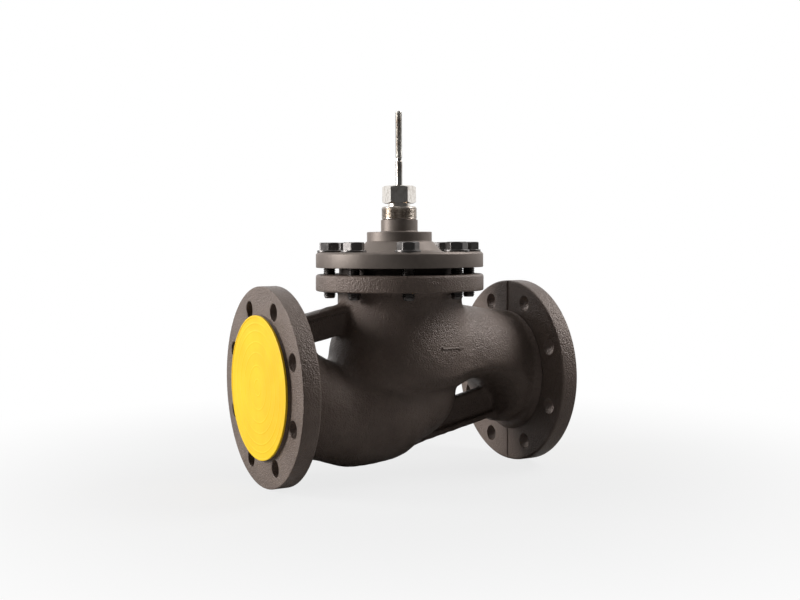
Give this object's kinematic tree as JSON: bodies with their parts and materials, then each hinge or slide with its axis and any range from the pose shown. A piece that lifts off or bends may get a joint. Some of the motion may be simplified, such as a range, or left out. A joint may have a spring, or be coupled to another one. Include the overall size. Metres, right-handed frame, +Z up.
{
  "type": "flanged globe control valve",
  "caption": "Two-way flanged globe control valve with a cast S-shaped body, bolted cover, packed sliding stem ready for a drive, and pull-off flange protectors.",
  "frame": {"origin": "on the stem's axis, level with the lowest point of the pipe flanges", "axes": "+X along the pipe in the direction of flow, +Z up the stem, y = 0 is the plane of symmetry"},
  "size_m": [0.3556, 0.22, 0.4176],
  "materials": {
    "casting": "dark brown-grey coat over a rough casting",
    "cover_casting": "dark coat over a machined casting",
    "screws": "black oxide",
    "washers": "black oxide",
    "gasket": "pressed graphite",
    "turned_steel": "turned and threaded",
    "nut_steel": "bright stainless hexagon",
    "bronze": "turned",
    "spring_steel": "drawn",
    "packing": "moulded",
    "seal_rubber": "moulded",
    "trim_steel": "turned",
    "stem_steel": "ground rod with a rolled thread",
    "cap_plastic": "moulded yellow plastic"
  },
  "bodies": {
    "valve": {"valve_body": "casting", "inlet_chamber": "casting", "inlet_bowl": "casting", "inlet_flange": "casting", "outlet_flange": "casting", "top_flange": "casting", "inlet_strut": "casting", "outlet_strut": "casting", "seat_ring": "trim_steel", "seat_seal": "gasket", "bonnet": "cover_casting", "bonnet_gasket": "gasket", "bonnet_bolts": "screws", "bonnet_washers": "washers", "guide_bush": "bronze", "sleeve_gasket": "gasket", "packing_sleeve": "turned_steel", "packing_spring": "spring_steel", "spring_washer": "spring_steel", "packing_rings": "packing", "gland_bush": "bronze", "gland_nut": "nut_steel", "wiper_ring": "seal_rubber"},
    "stem": {"stem": "stem_steel", "plug": "trim_steel", "plug_seal": "seal_rubber", "plug_pin": "spring_steel"},
    "inlet_cap": {"inlet_cap": "cap_plastic"},
    "outlet_cap": {"outlet_cap": "cap_plastic"}
  },
  "joints": [
    {"name": "stem_lift", "type": "slide", "parent": "valve", "child": "stem", "axis": [0, 0, 1], "range_m": [0, 0.04]},
    {"name": "inlet_cap_pull", "type": "slide", "parent": "valve", "child": "inlet_cap", "axis": [-1, 0, 0], "range_m": [0, 0.06]},
    {"name": "outlet_cap_pull", "type": "slide", "parent": "valve", "child": "outlet_cap", "axis": [1, 0, 0], "range_m": [0, 0.06]}
  ]
}
